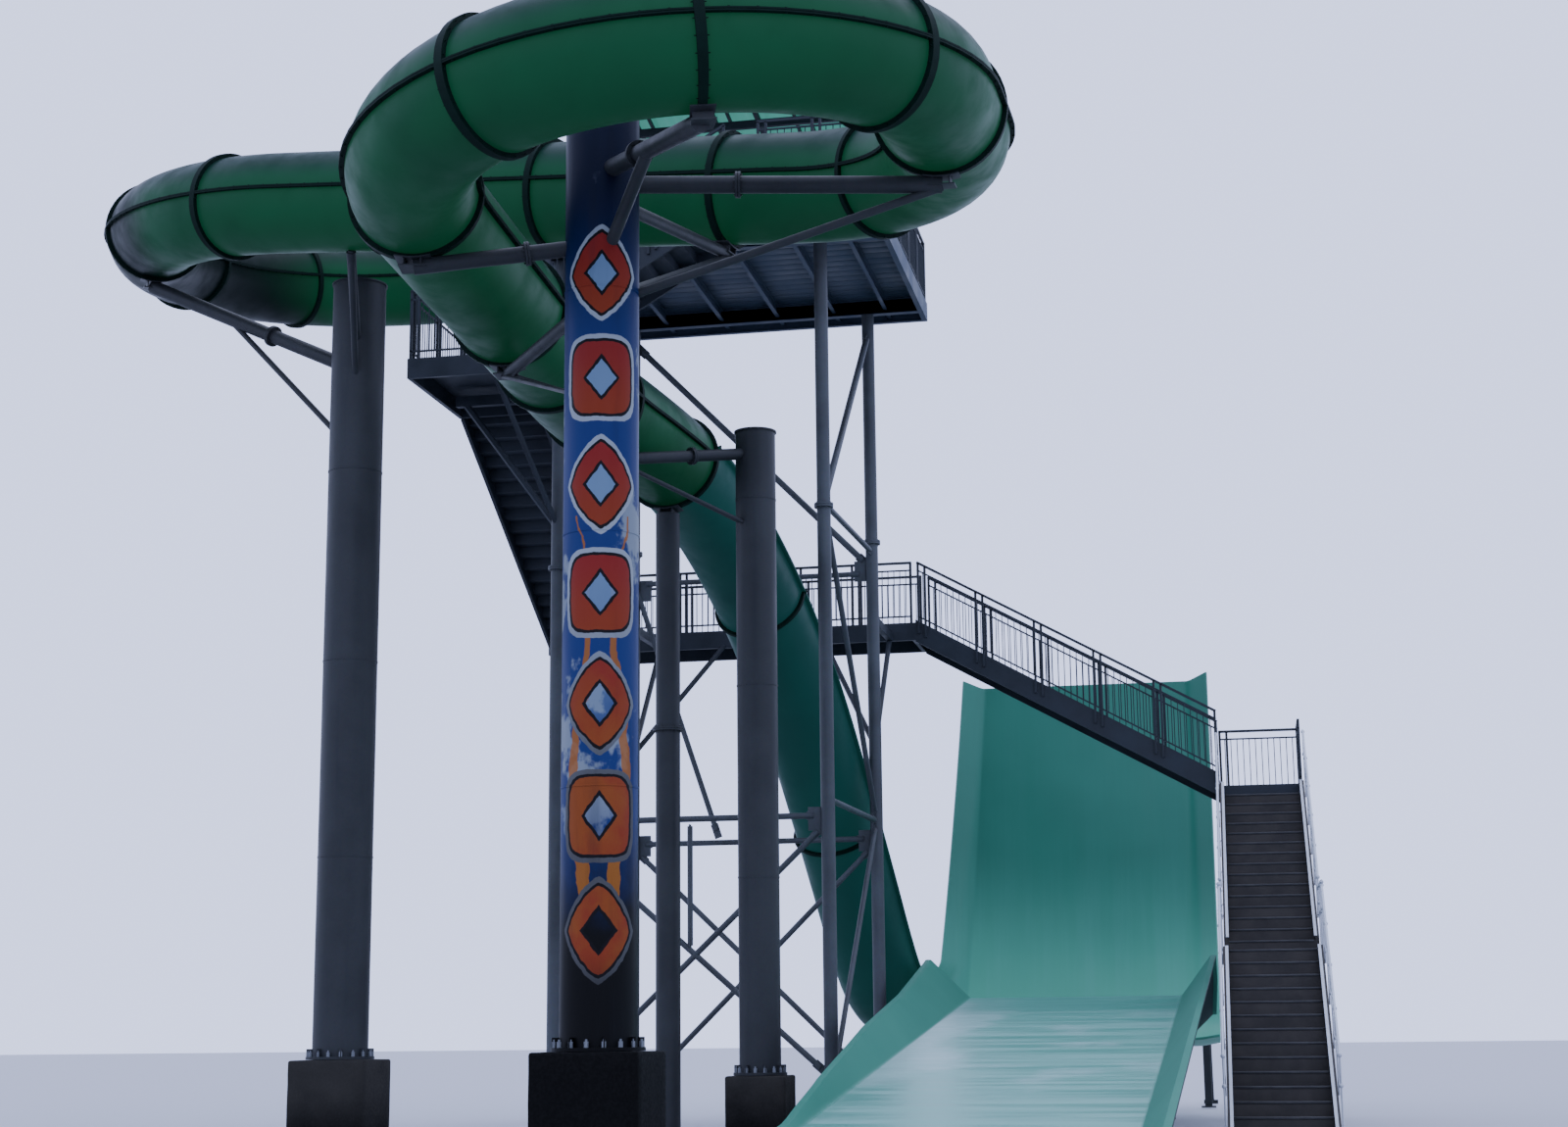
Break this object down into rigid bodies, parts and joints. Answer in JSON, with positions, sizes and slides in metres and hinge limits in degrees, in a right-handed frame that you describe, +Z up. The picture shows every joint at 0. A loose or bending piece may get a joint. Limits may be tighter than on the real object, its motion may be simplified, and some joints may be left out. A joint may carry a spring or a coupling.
{
  "type": "water slide tower",
  "caption": "Raft water slide: a roofed start tower with stairs, a closed tube that loops round a painted column, a steep chute, a tall curved wall and a long run-out channel.",
  "frame": {"origin": "centre of the underside of the main column's footing, at ground level", "axes": "+Z up, +Y from the run-out's open end towards the curved wall, +X to the right as seen from that end"},
  "size_m": [19.7049, 32.2608, 18.915],
  "materials": {
    "green_fibreglass": "gloss gel coat",
    "chute_fibreglass": "gloss gel coat",
    "teal_fibreglass": "wet gloss gel coat",
    "aqua_fibreglass": "wet gloss gel coat",
    "roof_sheet": "translucent sheet",
    "painted_column": "painted, with cloud and lozenge pattern",
    "concrete": "dark stained concrete",
    "galvanised_steel": "weathered galvanised steel",
    "dark_steel": "dark galvanised steel",
    "stair_steel": "galvanised steel",
    "pale_rail": "bright galvanised steel"
  },
  "bodies": {
    "root": {"tube_1": "green_fibreglass", "tube_2": "green_fibreglass", "tube_3": "green_fibreglass", "tube_4": "green_fibreglass", "tube_5": "green_fibreglass", "tube_6": "green_fibreglass", "tube_7": "green_fibreglass", "tube_8": "green_fibreglass", "tube_9": "green_fibreglass", "tube_10": "green_fibreglass", "tube_11": "green_fibreglass", "chute_1": "chute_fibreglass", "chute_2": "chute_fibreglass", "chute_3": "chute_fibreglass", "start_tub": "chute_fibreglass", "main_column": "painted_column", "main_column_footing": "concrete", "left_column": "galvanised_steel", "left_column_footing": "concrete", "chute_column": "galvanised_steel", "chute_column_footing": "concrete", "main_column_brackets": "galvanised_steel", "left_column_brackets": "galvanised_steel", "chute_column_arm": "galvanised_steel", "chute_post": "galvanised_steel", "tower_side_right": "galvanised_steel", "tower_side_left": "galvanised_steel", "tower_bracing_front": "galvanised_steel", "tower_bracing_back": "galvanised_steel", "platform_deck": "dark_steel", "platform_rail_front": "dark_steel", "platform_rail_right": "dark_steel", "platform_rail_back": "dark_steel", "platform_rail_left": "dark_steel", "roof_frame": "dark_steel", "roof_sheets": "roof_sheet", "stair_1": "stair_steel", "stair_1_rail_left": "pale_rail", "stair_1_rail_right": "pale_rail", "landing_1": "dark_steel", "landing_1_rail": "dark_steel", "stair_2": "dark_steel", "stair_2_rail_near": "dark_steel", "stair_2_rail_far": "dark_steel", "bridge": "dark_steel", "bridge_rail_near": "dark_steel", "bridge_rail_far": "dark_steel", "stair_3": "dark_steel", "stair_3_rail_left": "dark_steel", "stair_3_rail_right": "dark_steel", "landing_3": "dark_steel", "landing_3_rail": "dark_steel", "stair_4": "dark_steel", "stair_4_rail_near": "dark_steel", "wall": "teal_fibreglass", "wall_frame": "galvanised_steel", "run_out": "aqua_fibreglass", "run_out_frame": "galvanised_steel"}
  },
  "joints": []
}
